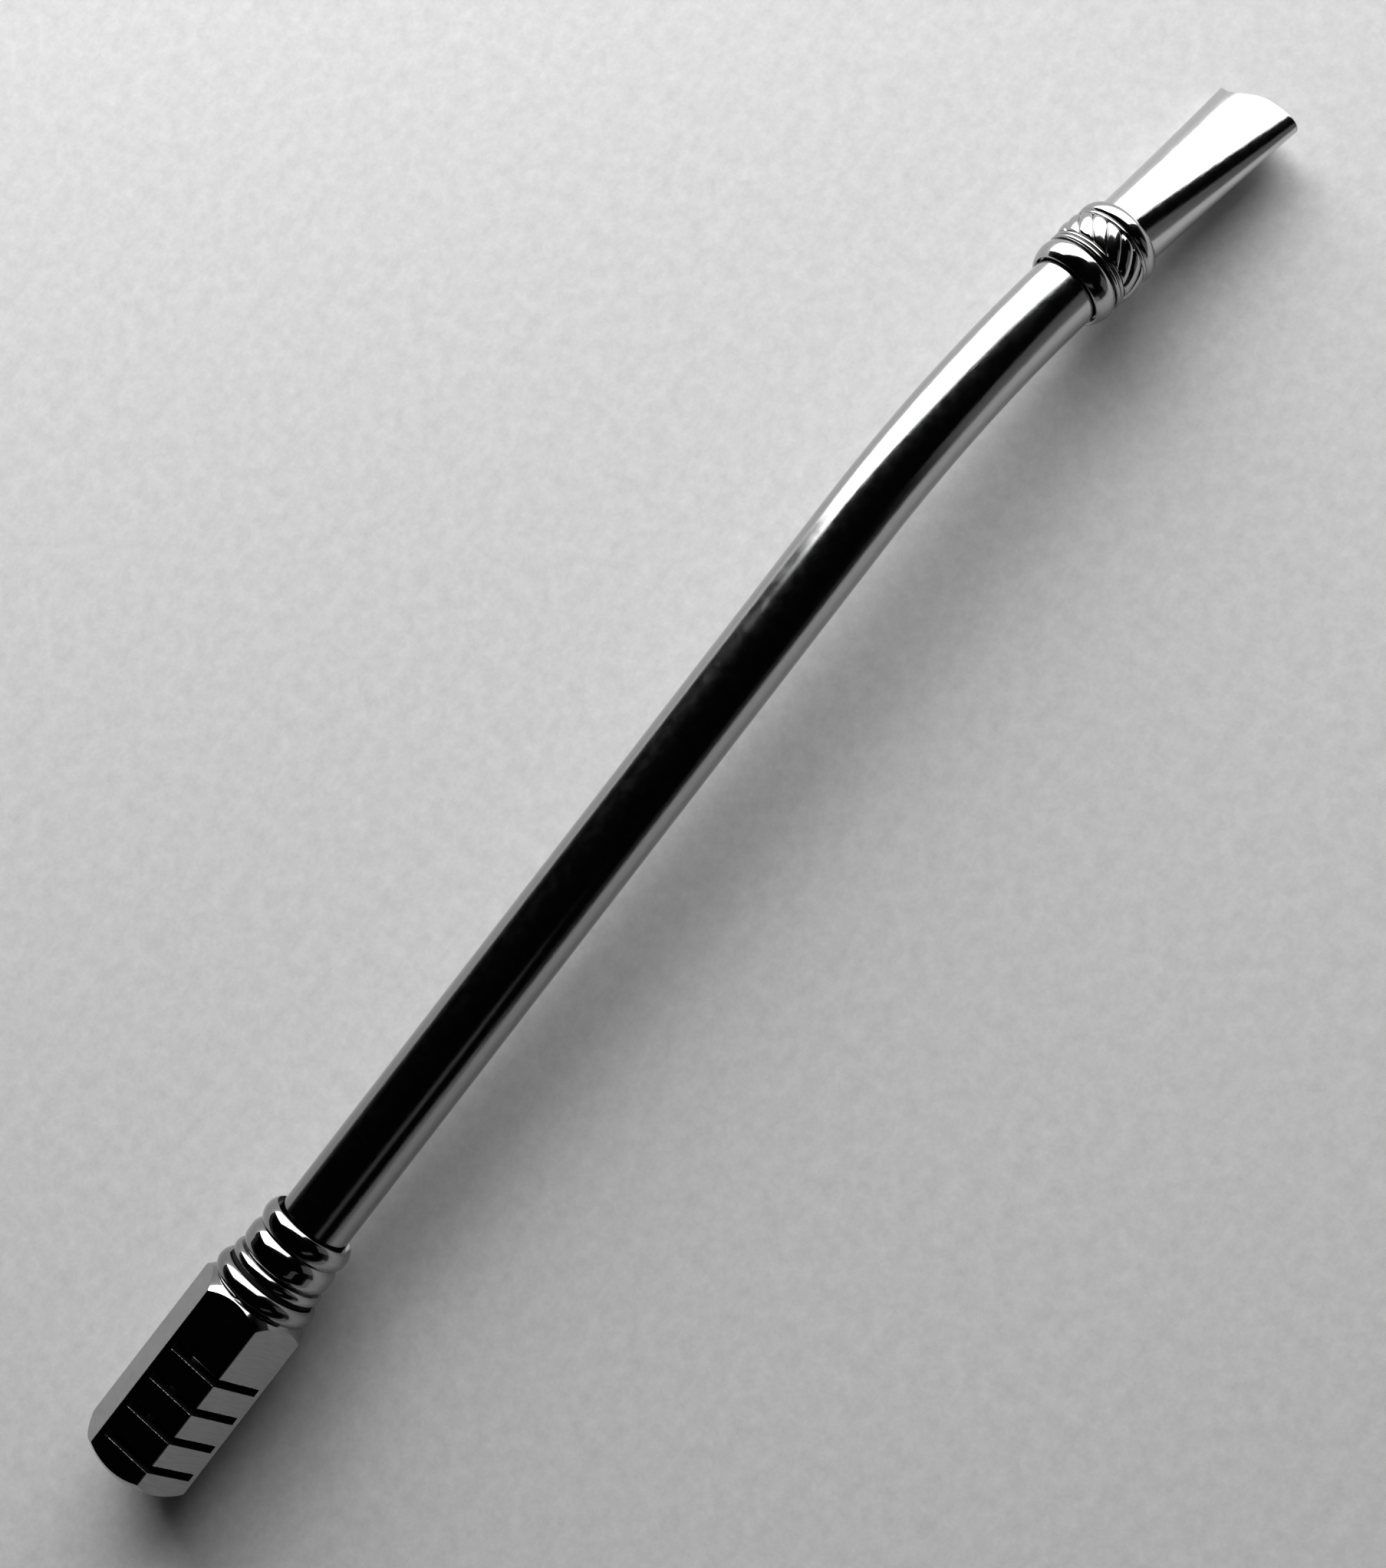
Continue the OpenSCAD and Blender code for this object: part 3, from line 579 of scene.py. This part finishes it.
paper_links.new(paper_tooth.outputs["Fac"], paper_tone.inputs["Fac"])
paper_links.new(paper_tooth.outputs["Fac"], paper_bump.inputs["Height"])
paper_links.new(paper_bump.outputs["Normal"], paper_shader.inputs["Normal"])
paper_links.new(paper_tone.outputs["Color"], paper_shader.inputs["Base Color"])
paper_shader.inputs["Roughness"].default_value = paper_dull
table.data.materials.append(paper)

# Light: one tall window beyond the mouthpiece, from the table up, its left sash brighter than its right one,
# in a room that is dark overhead. Two dim walls and a dim opening opposite put grey streaks on the steel.
horizon_glow, horizon_z, ceiling_glow, ceiling_z = 0.04, 0.09, 0.0015, 0.27
lamps = (  # name, azimuth and elevation, metres away, aside to the left and up, width, height, radiance
    ("window_left", 28, 0, 0.40, 0.29, 0.26, 0.42, 0.52, 7.2),
    ("window_right", 28, 0, 0.40, -0.11, 0.26, 0.38, 0.52, 4.2),
    ("side_wall", -58, 0, 0.50, 0.0, 0.13, 0.28, 0.26, 0.12),
    ("rear_wall", -128, 0, 0.50, 0.0, 0.045, 0.46, 0.09, 0.17),
    ("far_opening", -127, 42, 0.50, 0.0, 0.0, 0.28, 0.08, 0.09))
for name, azimuth, elevation, far, aside, above, width, height, radiance in lamps:
    azimuth, elevation = math.radians(azimuth), math.radians(elevation)
    lamp = bpy.data.lights.new(name, "AREA")
    lamp.shape, lamp.size, lamp.size_y = "RECTANGLE", width, height
    lamp.energy = radiance * math.pi * width * height
    lamp_object = bpy.data.objects.new(name, lamp)
    way = Vector((math.cos(azimuth) * math.cos(elevation), math.sin(azimuth) * math.cos(elevation),
                  math.sin(elevation)))
    lamp_object.location = way * far + Vector((-math.sin(azimuth) * aside, math.cos(azimuth) * aside, above))
    lamp_object.rotation_euler = way.to_track_quat("Z", "Y").to_euler()
    bpy.context.scene.collection.objects.link(lamp_object)
room = bpy.data.worlds.new("room")
bpy.context.scene.world = room
room.use_nodes = True
room_nodes, room_links = room.node_tree.nodes, room.node_tree.links
room_way = room_nodes.new("ShaderNodeTexCoord")
room_split = room_nodes.new("ShaderNodeSeparateXYZ")
room_ramp = room_nodes.new("ShaderNodeValToRGB")
room_tones = zip(room_ramp.color_ramp.elements, (horizon_glow, ceiling_glow), (horizon_z, ceiling_z))
for stop, glow, at_z in room_tones:
    stop.color, stop.position = (glow, glow, glow, 1), at_z
room_links.new(room_way.outputs["Generated"], room_split.inputs["Vector"])
room_links.new(room_split.outputs["Z"], room_ramp.inputs["Fac"])
room_links.new(room_ramp.outputs["Color"], room_nodes["Background"].inputs["Color"])

# Camera: held over the middle of the straw, at the photograph's angle.
camera_right = Vector((0.61618, -0.772573, -0.153145))
camera_back = Vector((-0.021144, -0.2106, 0.977344))
camera_at = np.array([-5.268, -44.546, 208.701]) * MM
camera = bpy.data.cameras.new("camera")
camera.sensor_width, camera.lens = 36.0, 45.94
camera.clip_start = 0.01
camera_object = bpy.data.objects.new("camera", camera)
bpy.context.scene.collection.objects.link(camera_object)
camera_up = camera_back.cross(camera_right)
camera_turn = Matrix((camera_right, camera_up, camera_back)).transposed()
camera_object.rotation_euler = camera_turn.to_euler()
camera_object.location = camera_at
bpy.context.scene.camera = camera_object
